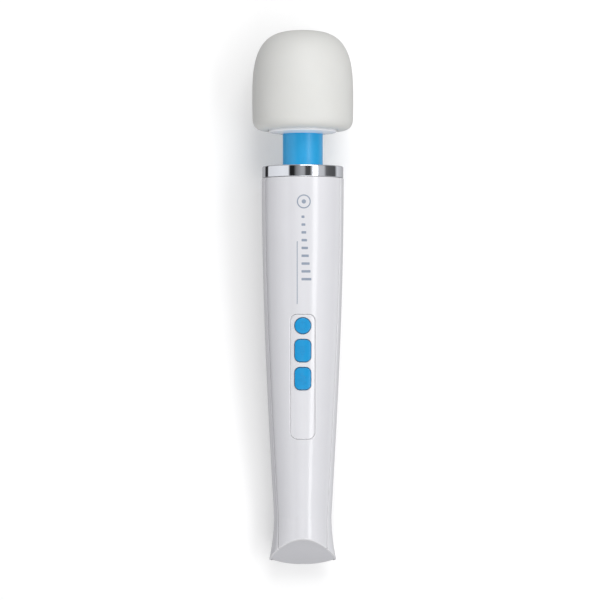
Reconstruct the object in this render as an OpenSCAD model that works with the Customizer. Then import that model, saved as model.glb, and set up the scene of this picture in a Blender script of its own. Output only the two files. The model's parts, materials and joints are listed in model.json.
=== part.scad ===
/* [Overall] */
// Overall length, from the crown of the head to the tail
overall_l = 330; // [326:1:334]
// Diameter of the massage head at its widest
head_d = 62; // [61:0.5:63]
// Length of the soft head cap along the axis
head_l = 60.9; // [60.5:0.1:61.7]
// Free length of the flexible neck between the trim ring and the collar
neck_l = 21; // [20.3:0.1:21.8]
// Outer diameter of the flexible neck
neck_d = 24.6; // [24:0.1:24.8]

/* [Handle] */
// Width of the handle under the trim ring
handle_w = 50.3; // [50:0.1:50.6]
// Width of the handle at its waist
waist_w = 35.6; // [35.4:0.1:36.4]
// How far the tail flares out on each side
tail_flare = 2.6; // [2.3:0.1:2.8]
// Wall thickness of the two shells
wall = 2.4; // [2.2:0.1:2.6]
// Height of the chrome trim ring
ring_h = 7.2; // [6.8:0.1:7.6]

/* [Controls] */
// Width of the inset control panel
panel_w = 15; // [14.6:0.1:15.6]
// Length of the inset control panel
panel_l = 76.8; // [76:0.1:77.4]
// Width of every button
button_w = 9.9; // [9.6:0.1:10.1]
// Length of the two oblong buttons
button_l = 13.8; // [13.5:0.1:14]
// Travel of a button
button_travel = 0.6; // [0.4:0.05:0.6]

/* [Charging port] */
// Diameter of the hole for the charging plug
port_d = 8; // [7.6:0.1:8.2]

/* [Hidden] */
$fn = 64;

// Stations along the axis, which runs along Y at the height of the head's radius.
axis_z = head_d / 2;
tail_y = -overall_l / 2;
crown_y = overall_l / 2;
rim_y = crown_y - head_l;          // lower rim of the soft cap
collar_drop = 1.3;
collar_y = rim_y - collar_drop;    // face of the collar, where the neck enters the head
ring_top = collar_y - neck_l;
handle_top = ring_top - ring_h;

// Handle sections: each is a rounded outline that turns lens-like towards the tail.
waist_y = -134;
flare_run = 25;                     // the tail flares over this length below the waist
waist_front = 16.3;
waist_back = 16.8;
flare_front = 0.9;
flare_back = 1.6;
rest_y = -161;                      // the back of the handle meets the table from here on
front_sharp = 0.45;
back_sharp = 0.3;
back_flat = 0.3;
tail_wall = 1.2;
parting_top = 23;                   // half-width of the front shell at the trim ring
parting_waist = 15.3;               // and from the waist to the tail
parting_gap = 0.25;
end_r = 56;                         // plan radius of the tail's end
slant_from = [-160.6, 18];          // the slanted end face, from the widest line
slant_to = [-147, 33.4];            // to the front
slant = atan2(slant_to[0] - slant_from[0], slant_to[1] - slant_from[1]);

// Joint between the shells and what closes them
ring_r = 24.9;
spigot_r = 22.5;
cap_r = 22.3;
neck_r = neck_d / 2;
neck_bore = 7.2;
nod_y = ring_top + neck_l / 4;
sway_y = collar_y - neck_l / 4;

// Drive train
motor_r = 14;
motor_front = 66;
motor_back = 26;
shaft_r = 1.585;
bush_r = 1.62;
weight_shaft_r = 3;
bearing_r = 8.5;
bearing_w = 6;
ball_r = 1.7;
ball_pitch = 5.75;
ball_count = 8;
low_bearing_y = 108.8;
high_bearing_y = 132.3;
core_r = 24.5;
core_wall = 2.5;
core_screw_at = 17.5;               // radii of the screw circles
clamp_screw_at = 17.8;
motor_screw_at = 8;

// Battery
cell_r = 9.1;
cell_l = 65;
cell_z = 20;
cell_top = 12;
cell_gap = 2;

// Controls: a local frame on the handle's front, tilted to lie along the surface.
panel_y = -46.9;
control_y = -33;
button_y = [-15.6, -30.7, -47.8];
key_clear = 0.25;
key_proud = 0.6;
key_flange = -4;                    // underside of the hole's rim, which the flange sits below
key_foot = key_flange - 1.3;        // lower end of the key, where the plunger starts
board_top = -9;
board_t = 1.6;
board_w = 20;
board_l = 58;
board_screw_at = 26.5;
switch_h = 2.4;
switch_floor = 0.7;                 // floor of the plunger's well, above the board
press_stop = 0.3;                   // left under the plunger at full travel
plunger_from = board_top + switch_floor + press_stop + button_travel;

port_z = 8;
shell_screws_at = [[17.2, 46], [-17.2, 46], [9, -138], [-9, -138]];

white = "#e9e9ec";
blue = "#2ea3e0";
silicone = "#dededc";
steel = "#b9bcc0";
dark = "#2b2c2e";

// ---------- shared shapes ----------

// Children drawn around local Z come to lie along Y, on the main axis.
module along_axis() translate([0, 0, axis_z]) rotate([-90, 0, 0]) children();

module disc(r, y0, y1) along_axis() translate([0, 0, y0]) cylinder(r = r, h = y1 - y0);

module tube(r, bore, y0, y1) difference() {
    disc(r, y0, y1);
    disc(bore, y0 - 1, y1 + 1);
}

// Copies around the main axis
module around(count, radius, start = 0) for (i = [0 : count - 1])
    along_axis() rotate([0, 0, start + 360 * i / count]) translate([radius, 0, 0]) children();

function arc(cx, cy, r, a0, a1, n) =
    [for (i = [0 : n]) let (a = a0 + (a1 - a0) * i / n) [cx + r * cos(a), cy + r * sin(a)]];

module rounded_rect(w, l, r) {
    square([w - 2 * r, l], center = true);
    square([w, l - 2 * r], center = true);
    for (x = [-1, 1], y = [-1, 1]) translate([x * (w / 2 - r), y * (l / 2 - r)]) circle(r);
}

// A screw: pan head from z = 0 up, shank down
module screw(shank_r, shank_l, head_r, head_h) {
    translate([0, 0, -shank_l]) cylinder(r = shank_r, h = shank_l + 0.01);
    difference() {
        cylinder(r = head_r, h = head_h);
        for (a = [0, 90]) rotate([0, 0, a]) translate([-head_r * 0.6, -0.3, head_h / 2])
            cube([head_r * 1.2, 0.6, head_h]);
    }
}

// ---------- handle form ----------

function taper(y) = 1 - sin(90 * min(1, max(0, (y - waist_y) / (handle_top - waist_y))));
function flare(y) = pow(max(0, waist_y - y) / flare_run, 2);
function half_w(y) = handle_w / 2 - (handle_w - waist_w) / 2 * taper(y) + tail_flare * flare(y);
function front_h(y) = handle_w / 2 - (handle_w / 2 - waist_front) * taper(y) + flare_front * flare(y);
function back_h(y) = handle_w / 2 - (handle_w / 2 - waist_back) * taper(y) + flare_back * flare(y);
function back_line(y) = (axis_z - handle_w / 2)
    * pow(max(0, (y - rest_y) / (handle_top - rest_y)), 1.3);
function centre_z(y) = back_line(y) + back_h(y);
function front_z(y) = centre_z(y) + front_h(y);
function wall_at(y) = wall - (wall - tail_wall) * min(1, flare(y));
function parting(y) = acos((parting_top - (parting_top - parting_waist) * taper(y)) / half_w(y));

// Point of the section at station y and angle a, moved inwards by inset
function section_pt(y, a, inset) = let (c = cos(a), s = sin(a), w = half_w(y) - inset)
    s >= 0
    ? [w * c, y, centre_z(y) + (front_h(y) - inset) * pow(s, 1 + front_sharp * taper(y))]
    : [w * sign(c) * pow(abs(c), 1 - back_flat * taper(y)), y,
       centre_z(y) - (back_h(y) - inset) * pow(-s, 1 + back_sharp * taper(y))];

// Skin over equal rings of points, each ring a closed loop
module skin(rings) {
    n = len(rings[0]);
    m = len(rings);
    polyhedron(
        [for (r = rings) for (p = r) p],
        concat(
            [[for (i = [0 : n - 1]) i]],
            [for (j = [0 : m - 2]) for (i = [0 : n - 1]) let (k = (i + 1) % n)
                each [[j * n + i, (j + 1) * n + i, (j + 1) * n + k],
                      [j * n + i, (j + 1) * n + k, j * n + k]]],
            [[for (i = [n - 1 : -1 : 0]) (m - 1) * n + i]]),
        convexity = 6);
}

stations = 34;
shell_from = handle_top;
shell_to = tail_y - 3;
function station(j, count = stations, y0 = shell_from, y1 = shell_to) = y0 + (y1 - y0) * j / count;

// One shell, the wall above (side 1) or below (side -1) the parting line
module shell_loft(side, n)
    skin([for (j = [0 : stations]) let (y = station(j), p = parting(y) + side * parting_gap,
            from = side > 0 ? p : -180 - p, to = side > 0 ? 180 - p : p)
        concat(
            [for (i = [0 : n]) section_pt(y, from + (to - from) * i / n, 0)],
            [for (i = [n : -1 : 0]) section_pt(y, from + (to - from) * i / n, wall_at(y))])]);

// Solid of the handle's section from station y1 down to y0
module handle_solid(inset, y0, y1, count, n = 48, follow_wall = false)
    skin([for (j = [0 : count])
        let (y = station(j, count, y1, y0), d = follow_wall ? wall_at(y) + inset : inset)
        [for (i = [0 : n - 1]) section_pt(y, 360 * i / n, d)]]);

// What is left of the tail once its end is cut, moved inwards by inset
module tail_end(inset) difference() {
    translate([0, tail_y + end_r, -5]) cylinder(r = end_r - inset, h = 70, $fn = 128);
    translate([0, slant_from[0], slant_from[1]]) rotate([-slant, 0, 0]) translate([-60, inset - 80, -60])
        cube([120, 80, 120]);
}

module tail_cut() difference() {
    translate([-40, tail_y - 10, -10]) cube([80, 50, 80]);
    tail_end(0);
}

// ---------- head ----------

// Outline of the soft cap: rounded rim, barrelled side, shoulder and crown, each arc tangent to the next
crown_r = 50;
crown_to = 70;
shoulder_r = 19;
rim_r = 6.5;
widest_h = 21;
shoulder_c = [(crown_r - shoulder_r) * cos(crown_to),
    head_l - crown_r + (crown_r - shoulder_r) * sin(crown_to)];
side_dx = shoulder_c[0] - head_d / 2;
side_dy = shoulder_c[1] - widest_h;
side_r = (pow(side_dx, 2) + pow(side_dy, 2) - pow(shoulder_r, 2)) / (-2 * (side_dx + shoulder_r));
side_c = [head_d / 2 - side_r, widest_h];
side_to = atan2(side_dy, side_dx + side_r);
side_from = -asin((widest_h - rim_r) / (side_r - rim_r));
rim_c = side_c + (side_r - rim_r) * [cos(side_from), sin(side_from)];
collar_r = 20.9;
core_l = 38;                        // straight part of the hard core, above the collar's face
core_dome = 16;

module head_cap() color(silicone) translate([0, rim_y, 0]) along_axis() rotate_extrude() difference() {
    polygon(concat(
        [[0, 0], [rim_c[0], 0]],
        arc(rim_c[0], rim_c[1], rim_r, -90, side_from, 7),
        arc(side_c[0], side_c[1], side_r, side_from + 0.8, side_to, 9),
        arc(shoulder_c[0], shoulder_c[1], shoulder_r, side_to + 5, crown_to, 12),
        arc(0, head_l - crown_r, crown_r, crown_to + 3, 90, 4)));
    polygon(concat(
        [[0, -1], [collar_r + 0.1, -1], [collar_r + 0.1, 2], [core_r + 0.1, 2]],
        [for (a = [0 : 7.5 : 90])
            [(core_r + 0.1) * cos(a), core_l - collar_drop + (core_dome + 0.1) * sin(a)]]));
}

module core_shell() color(white) translate([0, collar_y, 0]) along_axis() difference() {
    rotate_extrude() difference() {
        polygon(concat([[0, 12.3], [core_r, 12.3]],
            [for (a = [0 : 7.5 : 90]) [core_r * cos(a), core_l + core_dome * sin(a)]]));
        polygon(concat([[0, 10], [core_r - core_wall, 10]],
            [for (a = [0 : 7.5 : 90])
                [(core_r - core_wall) * cos(a), core_l - core_wall + (core_dome - 1) * sin(a)]]));
    }
    translate([0, 0, core_l]) cylinder(r = 1, h = 2 * core_dome);
}

module bearing_plate() color(dark) difference() {
    union() {
        disc(core_r, collar_y + 4.3, collar_y + 12.3);
        tube(core_r - core_wall - 0.1, 20.4, collar_y + 12.3, high_bearing_y + bearing_w);
        disc(12, high_bearing_y + 0.3, high_bearing_y + bearing_w);
        for (a = [0 : 60 : 300]) translate([0, 0, axis_z]) rotate([0, a, 0])
            translate([11, high_bearing_y + 0.3, -1.5]) cube([10.5, bearing_w - 0.3, 3]);
    }
    disc(bearing_r, low_bearing_y, low_bearing_y + bearing_w + 3);
    disc(bearing_r, high_bearing_y, high_bearing_y + bearing_w + 1);
    disc(6, collar_y, low_bearing_y + 1);
    around(4, core_screw_at, 45) cylinder(r = 1.3, h = collar_y + 15);
}

module head_collar() color("#f4f4f4") difference() {
    translate([0, collar_y, 0]) along_axis() rotate_extrude()
        polygon(concat([[0, 0]], arc(collar_r - 1, 1, 1, -90, 0, 6),
            [[collar_r, 3.3], [core_r, 3.3], [core_r, 4.3], [0, 4.3]]));
    disc(neck_r + 0.1, collar_y - 1, collar_y + 5);
    disc(14.6, collar_y + 2, collar_y + 5);
    around(4, core_screw_at, 45) translate([0, 0, collar_y + 1.4]) cylinder(r = 1.25, h = 4);
}

module core_screws() color(steel) around(4, core_screw_at, 45) translate([0, 0, collar_y + 12.3])
    screw(1.25, 10.4, 2.4, 1.6);

// ---------- bearings and eccentric weight ----------

module race_cut(y) along_axis() translate([0, 0, y + bearing_w / 2]) rotate_extrude()
    translate([ball_pitch, 0]) circle(ball_r + 0.05);

module bearing_race(y) color(steel) difference() {
    union() {
        tube(bearing_r, 7, y, y + bearing_w);
        tube(7.2, 4.7, y + 0.3, y + 0.6);
        tube(7.2, 4.7, y + bearing_w - 0.6, y + bearing_w - 0.3);
    }
    race_cut(y);
}

module bearing_bush(y) color(steel) difference() {
    tube(4.5, weight_shaft_r, y, y + bearing_w);
    race_cut(y);
}

module bearing_balls(y) color("#d8dadc") around(ball_count, ball_pitch) translate([0, 0, y + bearing_w / 2])
    sphere(ball_r, $fn = 24);

module lower_bearing_race() bearing_race(low_bearing_y);
module upper_bearing_race() bearing_race(high_bearing_y);
module lower_bearing_bush() bearing_bush(low_bearing_y);
module upper_bearing_bush() bearing_bush(high_bearing_y);
module lower_bearing_balls() bearing_balls(low_bearing_y);
module upper_bearing_balls() bearing_balls(high_bearing_y);

weight_from = 117.8;
weight_to = 130.8;
weight_r = 16;
grub_at = [weight_from + 4.2, weight_to - 4.2];

// Half a turn about the main axis: the heavy side hangs down while the handle lies on its back
module hanging() translate([0, 0, axis_z]) rotate([0, 180, 0]) translate([0, 0, -axis_z]) children();

module weight_shaft() color(steel) hanging() difference() {
    disc(weight_shaft_r, collar_y - 4, high_bearing_y + bearing_w - 0.5);
    along_axis() translate([0, 2.4, (weight_from + weight_to) / 2 - 4]) translate([-3, 0, 0]) cube([6, 2, 8]);
}

module eccentric_weight() color("#b58b4a") hanging() difference() {
    union() {
        difference() {
            disc(weight_r, weight_from, weight_to);
            along_axis() translate([-weight_r - 1, 0, weight_from - 1])
                cube([2 * weight_r + 2, weight_r + 1, weight_to - weight_from + 2]);
        }
        disc(6.5, weight_from, weight_to);
    }
    disc(weight_shaft_r, weight_from - 1, weight_to + 1);
    for (y = grub_at) translate([0, y, axis_z - weight_r - 1]) cylinder(r = 1.5, h = weight_r);
}

module weight_grub_screws() color(dark) hanging() for (y = grub_at)
    translate([0, y, axis_z - 6.4]) difference() {
        cylinder(r = 1.5, h = 4);
        translate([0, 0, -1]) cylinder(r = 0.8, h = 2.5, $fn = 6);
    }

// ---------- neck and drive ----------

module neck_sleeve() color(blue) along_axis() rotate_extrude() polygon([
    [neck_bore, handle_top - 0.6], [15.5, handle_top - 0.6], [15.5, handle_top + 2.4],
    [neck_r, handle_top + 2.4], [neck_r, collar_y - 1.6], [neck_r + 0.4, collar_y - 1.1],
    [neck_r + 0.4, collar_y - 0.1], [neck_r, collar_y - 0.1], [neck_r, collar_y + 2.1],
    [14.4, collar_y + 2.1],
    [14.4, collar_y + 4.2], [neck_bore, collar_y + 4.2]]);

spring_mean = 4.4;
spring_wire = 1.15;
spring_turns = 6;
spring_from = 76.2;                 // clear of the shells' top edge
spring_to = collar_y - 1.4;

module drive_spring() color("#9a9da1") {
    per_turn = 14;
    total = spring_turns * per_turn;
    skin([for (j = [0 : total]) let (a = 360 * j / per_turn,
            y = spring_from + (spring_to - spring_from) * j / total)
        [for (i = [0 : 5]) let (b = -60 * i, r = spring_mean + spring_wire * cos(b))
            [r * sin(a), y + spring_wire * sin(b), axis_z + r * cos(a)]]]);
}

module motor_shaft() color(steel) {
    disc(shaft_r, 18.5, 78);
    tube(3.1, shaft_r, 70.6, 79);
}

module armature_core() color("#6d7075") difference() {
    disc(10.4, 34, 56);
    disc(shaft_r, 33, 57);
    around(5, 9) translate([-2.6, -2, 33]) cube([5.2, 4, 24]);
    around(5, 11) translate([-3, -0.6, 33]) cube([6, 1.2, 24]);
}

module armature_windings() color("#b5683a") {
    for (y = [30, 56]) tube(8.2, 3.2, y + 0.05, y + 3.95);
    around(5, 9) translate([-2.4, -1.8, 34]) cube([3.4, 3.6, 21.9]);
}

module commutator() color("#c98a5a") difference() {
    disc(3.2, 22.5, 29.8);
    disc(shaft_r, 22, 31);
    around(5, 3.2, 36) translate([-0.5, -0.15, 22]) cube([1, 0.3, 6]);
}

module motor_can() color(steel) difference() {
    union() {
        disc(motor_r, motor_back, motor_front);
        disc(5.5, motor_front - 0.5, motor_front + 2);
    }
    disc(motor_r - 1, motor_back - 1, motor_front - 1.2);
    disc(4.5, motor_front - 3, motor_front + 3);
    around(2, motor_screw_at) translate([0, 0, motor_front - 3]) cylinder(r = 1.25, h = 5);
}

module motor_magnets() color(dark) for (a = [0, 180]) along_axis() rotate([0, 0, a])
    translate([0, 0, 32]) rotate([0, 0, -65]) rotate_extrude(angle = 130)
        translate([10.9, 0]) square([2, 26]);

module motor_front_bush() color("#a9884f") tube(4.5, bush_r, motor_front - 2.2, motor_front + 2);
module motor_rear_bush() color("#a9884f") tube(4, bush_r, 18.8, 22.2);

module motor_end_bell() color("#22252a") difference() {
    union() {
        disc(motor_r - 1.05, 22.3, 29);
        disc(motor_r, 22.3, motor_back - 0.05);
        disc(5.5, 18.8, 22.5);
    }
    disc(4, 18, 22.2);
    disc(9, 24, 30);
    disc(3.4, 22, 26);
    for (x = [-1, 1]) translate([x * 9.6 - 0.6, 20, axis_z - 2]) cube([1.2, 12, 4]);
}

module motor_brushes() color("#3a3a3a") for (x = [-1, 1])
    translate([x * 6.05 - 2.75, 24.6, axis_z - 1.5]) cube([5.5, 3, 3]);

module motor_terminals() color("#c9a24a") for (x = [-1, 1])
    translate([x * 9.6 - 0.4, 16, axis_z - 1.5]) cube([0.8, 9, 3]);

module motor_mount() color(dark) difference() {
    disc(spigot_r - 0.4, motor_front, 70);
    disc(5.6, motor_front - 1, 71);
    around(2, motor_screw_at) translate([0, 0, motor_front - 1]) cylinder(r = 1.6, h = 8);
    around(2, motor_screw_at) translate([0, 0, 68]) cylinder(r = 2.8, h = 4);
    around(4, clamp_screw_at, 45) translate([0, 0, motor_front - 1]) cylinder(r = 1.6, h = 8);
}

module motor_screws() color(steel) around(2, motor_screw_at) translate([0, 0, 68]) screw(1.25, 3.2, 2.5, 1.6);

// Rubber saddle that centres the motor in the shells
module motor_cushion() color(dark) difference() {
    intersection() {
        handle_solid(0.05, 30, 36, 1, 48, true);
        translate([-30, 30, 0]) cube([60, 6, 70]);
    }
    disc(motor_r, 29, 37);
}

// ---------- top of the handle ----------

module trim_ring() color("#c8ccd2") along_axis() rotate_extrude() polygon([
    [spigot_r - 1.5, handle_top - 4], [spigot_r, handle_top - 4], [spigot_r, handle_top],
    [ring_r, handle_top], [ring_r, ring_top - 0.5], [ring_r - 0.5, ring_top], [cap_r + 0.5, ring_top],
    [cap_r + 0.1, ring_top - 0.4], [cap_r + 0.1, handle_top + 2.4], [spigot_r - 1.5, handle_top + 2.4]]);

module top_cap() color(white) difference() {
    along_axis() rotate_extrude() polygon([
        [neck_r + 0.25, handle_top + 2.5], [cap_r, handle_top + 2.5], [cap_r, ring_top - 1],
        [cap_r - 0.6, ring_top - 0.6], [neck_r + 1.8, ring_top + 0.6], [neck_r + 0.25, ring_top + 0.2]]);
    around(4, clamp_screw_at, 45) translate([0, 0, handle_top + 2]) cylinder(r = 1.25, h = 3);
}

module neck_clamp() color(dark) difference() {
    tube(spigot_r - 1.6, neck_bore, 70.1, handle_top - 0.7);
    around(4, clamp_screw_at, 45) translate([0, 0, 69]) cylinder(r = 1.6, h = 9);
    disc(15.6, handle_top - 0.7, handle_top + 1);
}

module clamp_screws() color(steel) around(4, clamp_screw_at, 45) translate([0, 0, motor_front])
    rotate([180, 0, 0]) screw(1.25, 12.8, 2.6, 1.6);

// ---------- shells ----------

post_r = 2.8;

// Shape that a screw post fills between two heights inside the handle
module screw_post(at, from_z, to_z) intersection() {
    translate([at[0], at[1], from_z]) cylinder(r = post_r, h = to_z - from_z);
    handle_solid(0.3, at[1] - 6, at[1] + 6, 2);
}

function post_z(at) = centre_z(at[1]) + 1;

module front_shell() color(white) difference() {
    union() {
        shell_loft(1, 22);
        for (at = shell_screws_at) difference() {
            screw_post(at, post_z(at), 60);
            translate([at[0], at[1], post_z(at) - 1]) cylinder(r = 1.25, h = 9);
        }
        control_frame() for (y = [-1, 1]) translate([0, y * board_screw_at, board_top]) difference() {
            cylinder(r = 2.2, h = 7.2);
            translate([0, 0, -1]) cylinder(r = 0.9, h = 6);
        }
    }
    tail_cut();
    panel_pocket();
    control_frame() for (i = [0 : 2]) key_prism(i, key_clear, -12, 6);
}

module back_shell() color(white) difference() {
    union() {
        shell_loft(-1, 34);
        for (at = shell_screws_at) screw_post(at, -1, post_z(at) - 0.1);
    }
    tail_cut();
    for (at = shell_screws_at) translate([at[0], at[1], 0]) {
        translate([0, 0, -5]) cylinder(r = 1.5, h = 60);
        translate([0, 0, -5]) cylinder(r = 2.3, h = 5 + post_z(at) - 6);
    }
}

module shell_screws() color(steel) for (at = shell_screws_at)
    translate([at[0], at[1], post_z(at) - 6]) rotate([180, 0, 0]) screw(1.25, 11, 2.2, 1.6);

// Rubber plugs that follow the shell's back
module screw_plugs() color("#d9d9dc") for (at = shell_screws_at) difference() {
    intersection() {
        translate([at[0], at[1], -2]) cylinder(r = 2.25, h = post_z(at) - 6.5);
        handle_solid(0.1, at[1] - 4, at[1] + 4, 2);
    }
    translate([at[0], at[1], post_z(at) - 9]) cylinder(r = 1.6, h = 8);
}

module tail_cap() color("#dcdce0") difference() {
    intersection() {
        handle_solid(0.05, tail_y - 2, -140, 8, 48, true);
        tail_end(0.15);
    }
    tail_end(3.2);
    translate([0, tail_y - 5, port_z]) rotate([-90, 0, 0]) cylinder(r = port_d / 2, h = 12);
    translate([-30, -143, -1]) cube([60, 30, 60]);
}

jack_front = tail_y + 4.1;

module jack_body() color(dark) difference() {
    translate([-4.5, jack_front, port_z - 4.5]) cube([9, 12, 9]);
    translate([0, jack_front - 1, port_z]) rotate([-90, 0, 0]) cylinder(r = 2.8, h = 10.5);
    translate([0, jack_front + 9, port_z]) rotate([-90, 0, 0]) cylinder(r = 1.05, h = 4);
}

module jack_pin() color("#d0cdb8") translate([0, jack_front + 0.8, port_z]) rotate([-90, 0, 0])
    cylinder(r = 1.05, h = 12.2);

// ---------- controls ----------

control_tilt = atan((front_z(button_y[0]) - front_z(button_y[2])) / (button_y[0] - button_y[2]));
control_z = front_z(control_y);

module control_frame() translate([0, control_y, control_z]) rotate([control_tilt, 0, 0]) children();

function local_y(y) = (y - control_y) / cos(control_tilt);

module panel_outline(grow) translate([0, local_y(panel_y)])
    rounded_rect(panel_w + 2 * grow, panel_l + 2 * grow, 4 + grow);

module key_outline(i, grow) translate([0, local_y(button_y[i])]) {
    if (i == 0) circle(button_w / 2 + grow);
    else rounded_rect(button_w + 2 * grow, button_l + 2 * grow, 3.3 + grow);
}

module key_prism(i, grow, z0, z1) translate([0, 0, z0]) linear_extrude(z1 - z0) key_outline(i, grow);

panel_t = 1.2;

module panel_pocket() difference() {
    control_frame() translate([0, 0, -8]) linear_extrude(14) panel_outline(0.12);
    handle_solid(panel_t + 0.1, -100, 2, 12);
}

module control_panel() color("#ececef") difference() {
    intersection() {
        control_frame() translate([0, 0, -8]) linear_extrude(14) panel_outline(0);
        handle_solid(0.1, -100, 2, 12);
    }
    handle_solid(panel_t, -101, 3, 12);
    control_frame() for (i = [0 : 2]) key_prism(i, key_clear, -12, 6);
}

module key(i) color(blue) {
    intersection() {
        control_frame() key_prism(i, 0, key_flange - 0.5, 4);
        handle_solid(-key_proud, button_y[i] - 14, button_y[i] + 14, 4);
    }
    control_frame() {
        key_prism(i, 1.1, key_flange - 0.9, key_flange);
        translate([0, local_y(button_y[i]), key_foot]) cylinder(r = 1.8, h = 0.5);
    }
}

module power_button() key(0);
module level_button() key(1);
module pattern_button() key(2);

module plunger(i) color("#e5e2d5") control_frame() translate([0, local_y(button_y[i]), plunger_from])
    cylinder(r = 1.6, h = key_foot - plunger_from);

module power_plunger() plunger(0);
module level_plunger() plunger(1);
module pattern_plunger() plunger(2);

module main_board() color("#1f6b45") control_frame() difference() {
    translate([-board_w / 2, -board_l / 2, board_top - board_t]) cube([board_w, board_l, board_t]);
    for (y = [-1, 1]) translate([0, y * board_screw_at, board_top - 3]) cylinder(r = 1.1, h = 5);
}

module switch_bodies() color(dark) control_frame() for (i = [0 : 2])
    translate([0, local_y(button_y[i]), board_top]) difference() {
        translate([-3, -3, 0]) cube([6, 6, switch_h]);
        translate([0, 0, switch_floor]) cylinder(r = 1.75, h = 5);
    }

// Controller, driver, capacitor, light and the three sockets on the underside of the board
module board_parts() color("#303236") control_frame() translate([0, 0, board_top - board_t]) {
    translate([-3.5, -6, -1.2]) cube([7, 7, 1.2]);
    translate([-5, 6, -1]) cube([4, 5, 1]);
    translate([2, 6, -1]) cube([4, 5, 1]);
    translate([-5, -16, -3]) cylinder(r = 2.2, h = 3);
    translate([-4, 20, -3.2]) cube([8, 3, 3.2]);
    translate([-9.5, 13, -3.2]) cube([3, 6, 3.2]);
    translate([-4, -23, -3.2]) cube([8, 3, 3.2]);
    translate([-6.5, 20, board_t]) cube([1.6, 0.8, 0.7]);
}

module board_screws() color(steel) control_frame() for (y = [-1, 1])
    translate([0, y * board_screw_at, board_top - board_t]) rotate([180, 0, 0]) screw(0.9, 5, 1.9, 1.2);

// ---------- battery ----------

lower_cell_top = cell_top - cell_l - cell_gap;

module cell(top_y) color("#3f7fb5") translate([0, top_y, cell_z]) rotate([90, 0, 0]) {
    cylinder(r = cell_r, h = cell_l);
    translate([0, 0, -0.4]) cylinder(r = 3.2, h = 1);
}

module upper_cell() cell(cell_top);
module lower_cell() cell(lower_cell_top);

module cell_tabs() color("#c6c8ca") {
    translate([-3, cell_top + 0.4, cell_z - 4]) cube([6, 0.3, 10]);
    translate([-3, lower_cell_top + 0.4, cell_z - 4]) cube([6, cell_gap - 0.4, 8]);
    translate([-3, lower_cell_top - cell_l - 0.3, cell_z - 4]) cube([6, 0.3, 10]);
}

module battery_cradle() color("#4a4c50") {
    saddle_y = [cell_top - 12, lower_cell_top + 4, lower_cell_top - cell_l + 10];
    difference() {
        union() {
            translate([0, cell_top - 2, cell_z]) rotate([90, 0, 0])
                cylinder(r = cell_r + 1.6, h = 2 * cell_l - 2);
            for (y = saddle_y) intersection() {
                handle_solid(0.05, y, y + 3, 1, 48, true);
                translate([-30, y, -1]) cube([60, 3, 22]);
            }
        }
        translate([0, cell_top + 5, cell_z]) rotate([90, 0, 0])
            cylinder(r = cell_r + 0.1, h = 2 * cell_l + 20);
        translate([-30, -150, cell_z + 1]) cube([60, 200, 40]);
    }
}

// ---------- wiring ----------

// Smooth line through the points
function bend(p, u) = let (n = len(p), i = min(floor(u), n - 2), t = u - i,
        a = p[max(i - 1, 0)], b = p[i], c = p[i + 1], d = p[min(i + 2, n - 1)])
    0.5 * (2 * b + (c - a) * t + (2 * a - 5 * b + 4 * c - d) * t * t + (3 * b - a - 3 * c + d) * t * t * t);

function unit(v) = v / norm(v);

module wire(p, r = 0.75, steps = 4) {
    total = (len(p) - 1) * steps;
    skin([for (j = [0 : total]) let (u = j / steps, at = bend(p, u),
            dir = unit(bend(p, min(u + 0.05, len(p) - 1)) - bend(p, max(u - 0.05, 0))),
            side = unit(cross(dir, [0, 0, 1])), up = cross(side, dir))
        [for (i = [0 : 7]) at + r * (cos(45 * i) * side + sin(45 * i) * up)]]);
}

function mirrored(p) = [for (q = p) [-q[0], q[1], q[2]]];

motor_lead = [[9.6, 15.4, 31], [8.6, 11, 34], [5, 5, 38], [2.4, -3, 38.2], [2.4, -8.6, 37.9]];
cell_lead = [[0.5, 13.5, 24.5], [-3, 15.6, 27], [-10.5, 12, 29.5], [-11.3, 0, 32.5], [-8.5, -7, 36.8],
    [-7.6, -12.5, 37.8]];
return_lead = [[-0.8, -121.1, 24.8], [-4, -122.6, 25], [-9, -121, 24.6], [-10.7, -114, 24.6],
    [-10.8, -60, 25], [-10.8, -38, 27], [-9.8, -25, 33.5], [-8, -18.9, 36.8]];
jack_lead = [[2, -148.6, 8], [3, -143, 9.5], [3, -133, 12], [3, -127.5, 22], [3.2, -122, 30.4],
    [3.2, -112, 31.3], [3.2, -90, 31.4], [3.2, -64, 31.6], [3, -54.6, 32.6]];

module motor_leads() color("#a02c2c") {
    wire(motor_lead);
    wire(mirrored(motor_lead));
}

module battery_leads() color("#b0322f") {
    wire(cell_lead);
    wire(return_lead);
}

module jack_leads() color("#26272a") {
    wire(jack_lead);
    wire(mirrored(jack_lead));
}

// ---------- nodes ----------

head_cap();
core_shell();
bearing_plate();
head_collar();
core_screws();
lower_bearing_race();
upper_bearing_race();
lower_bearing_balls();
upper_bearing_balls();
lower_bearing_bush();
upper_bearing_bush();
weight_shaft();
eccentric_weight();
weight_grub_screws();
neck_sleeve();
drive_spring();
motor_shaft();
armature_core();
armature_windings();
commutator();
motor_can();
motor_magnets();
motor_front_bush();
motor_rear_bush();
motor_end_bell();
motor_brushes();
motor_terminals();
motor_mount();
motor_screws();
motor_cushion();
trim_ring();
top_cap();
neck_clamp();
clamp_screws();
front_shell();
back_shell();
shell_screws();
screw_plugs();
tail_cap();
jack_body();
jack_pin();
control_panel();
power_button();
level_button();
pattern_button();
power_plunger();
level_plunger();
pattern_plunger();
main_board();
switch_bodies();
board_parts();
board_screws();
upper_cell();
lower_cell();
cell_tabs();
battery_cradle();
motor_leads();
battery_leads();
jack_leads();
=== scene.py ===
"""A cordless wand massager lying on its back: its outer skins, finishes, studio and camera.

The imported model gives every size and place. Lengths in this file are millimetres until a mesh is written.
"""

import json
import math

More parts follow.
